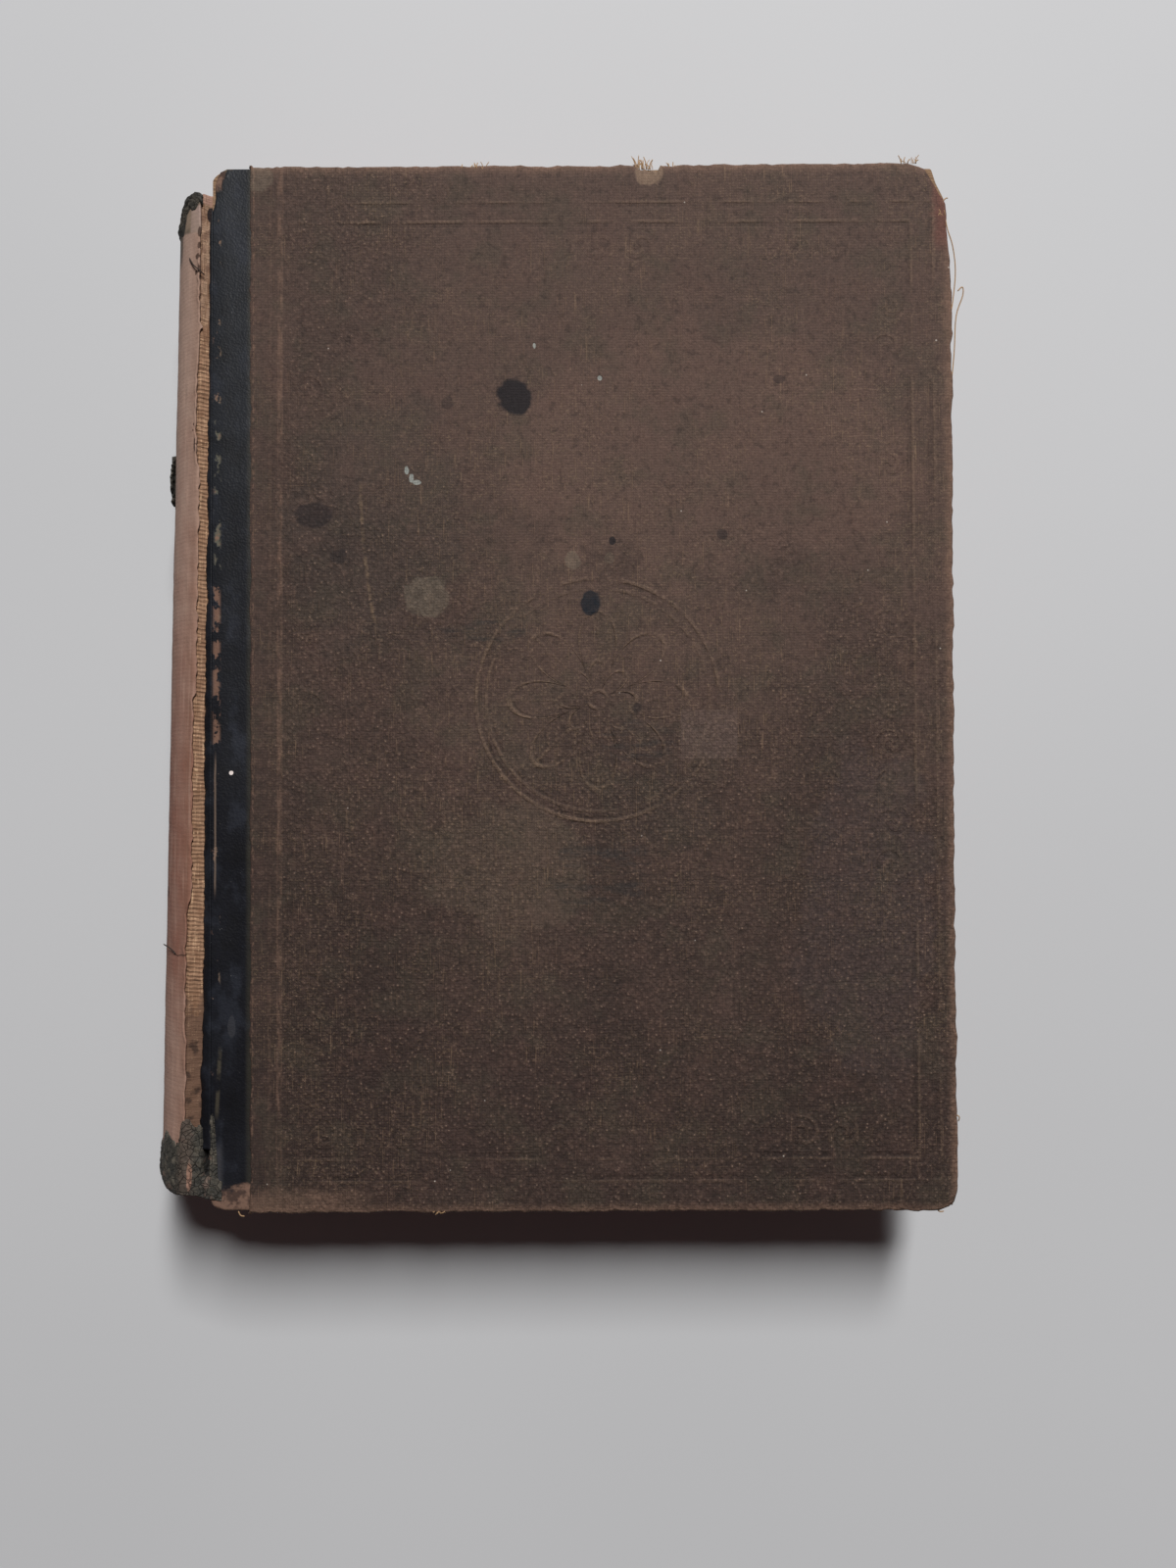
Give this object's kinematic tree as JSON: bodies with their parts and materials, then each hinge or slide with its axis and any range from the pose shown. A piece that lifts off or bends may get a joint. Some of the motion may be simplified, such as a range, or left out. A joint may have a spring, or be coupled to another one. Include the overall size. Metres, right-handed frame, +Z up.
{
  "type": "hardback book",
  "caption": "Worn cloth-cased hardback book with a bare rounded spine, leather-cloth strips along the joints, and covers that open on their hinges.",
  "frame": {"origin": "centre of the back cover's outer face, which lies on the table", "axes": "+X from the spine to the fore-edge, +Y from the tail to the head, +Z up from the back cover to the front cover"},
  "size_m": [0.1561, 0.2021, 0.028],
  "materials": {
    "book_cloth": "matte",
    "leather_cloth": "satin",
    "binders_board": "matte",
    "endpaper": "matte",
    "page_edges": "matte",
    "mull": "matte",
    "spine_paper": "matte",
    "sewing_cord": "matte",
    "old_covering": "matte"
  },
  "bodies": {
    "text_block": {"text_block": "page_edges", "front_flyleaf": "endpaper", "back_flyleaf": "endpaper", "spine_mull": "mull", "spine_lining": "spine_paper", "sewing_cord_head": "sewing_cord", "sewing_cord_middle": "sewing_cord", "sewing_cord_tail": "sewing_cord", "head_cap": "old_covering", "tail_cap": "old_covering", "spine_scrap": "old_covering"},
    "front_cover": {"front_board": "binders_board", "front_cloth": "book_cloth", "front_spine_strip": "leather_cloth", "front_mull_flange": "mull", "front_pastedown": "endpaper"},
    "back_cover": {"back_board": "binders_board", "back_cloth": "book_cloth", "back_spine_strip": "leather_cloth", "back_mull_flange": "mull", "back_pastedown": "endpaper"}
  },
  "joints": [
    {"name": "front_hinge", "type": "hinge", "parent": "text_block", "child": "front_cover", "pos_m": [-0.0748, 0, 0.0269], "axis": [0, -1, 0], "range_deg": [0, 178]},
    {"name": "back_hinge", "type": "hinge", "parent": "text_block", "child": "back_cover", "pos_m": [-0.0748, 0, 0.0011], "axis": [0, 1, 0], "range_deg": [0, 178]}
  ]
}
